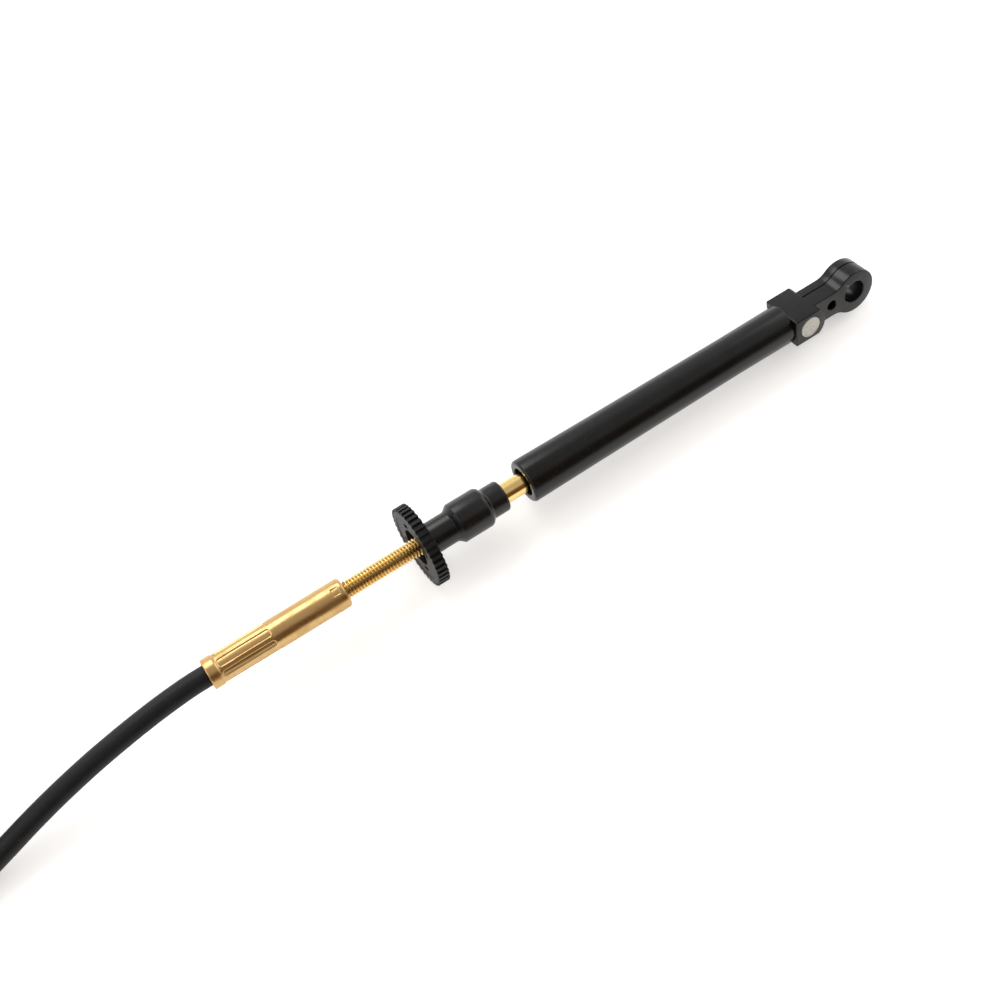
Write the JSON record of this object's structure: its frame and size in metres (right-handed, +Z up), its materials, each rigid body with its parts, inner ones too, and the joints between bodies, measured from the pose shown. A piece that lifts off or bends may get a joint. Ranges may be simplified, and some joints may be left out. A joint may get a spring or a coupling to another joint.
{
  "type": "boat control cable",
  "caption": "Jacketed push-pull boat control cable with a crimped brass hub, threaded adjuster with thumbwheel and barrel, and a sliding eye end.",
  "frame": {"origin": "on the floor, below the middle of the stiff engine end's bounding box", "axes": "+X along the stiff end towards the eye, +Z up"},
  "size_m": [0.6832, 0.1171, 0.0359],
  "materials": {
    "hub_brass": "satin, crimped",
    "thread_brass": "bright, rolled thread",
    "tube_brass": "drawn, polished",
    "thumbwheel_plastic": "matt moulded",
    "barrel_plastic": "satin moulded",
    "guide_plastic": "semi-gloss moulded",
    "pin_steel": "matt zinc plated",
    "rod_steel": "ground",
    "conduit_jacket": "matt extruded"
  },
  "bodies": {
    "cable": {"crimp_hub": "hub_brass", "threaded_tube": "thread_brass", "guide_tube": "tube_brass", "conduit": "conduit_jacket", "conduit_coil": "conduit_jacket", "conduit_tail": "conduit_jacket", "far_hub": "hub_brass", "far_tube": "tube_brass"},
    "barrel": {"adjuster_barrel": "barrel_plastic"},
    "wheel": {"thumbwheel": "thumbwheel_plastic"},
    "eye_end": {"casing_guide": "guide_plastic", "cross_pin": "pin_steel", "core_rod": "rod_steel"},
    "far_push_rod": {"far_rod": "rod_steel"}
  },
  "joints": [
    {"name": "eye_slide", "type": "slide", "parent": "cable", "child": "eye_end", "axis": [0.9996, 0, -0.0271], "range_m": [-0.005, 0.076]},
    {"name": "barrel_slide", "type": "slide", "parent": "cable", "child": "barrel", "axis": [0.9996, 0, -0.0271], "range_m": [-0.028, 0.003]},
    {"name": "wheel_spin", "type": "hinge", "parent": "barrel", "child": "wheel", "pos_m": [-0.06747, 0, 0.01796], "axis": [0.9996, 0, -0.0271], "range_deg": [-7140, 760]},
    {"name": "far_rod_slide", "type": "slide", "parent": "cable", "child": "far_push_rod", "axis": [-0.8652, 0.4995, -0.0449], "range_m": [-0.076, 0.005]}
  ],
  "couplings": [
    {"joint": "barrel_slide", "follows": "wheel_spin", "m_per_rad": 0.00022458},
    {"joint": "far_rod_slide", "follows": "eye_slide", "ratio": -1}
  ]
}
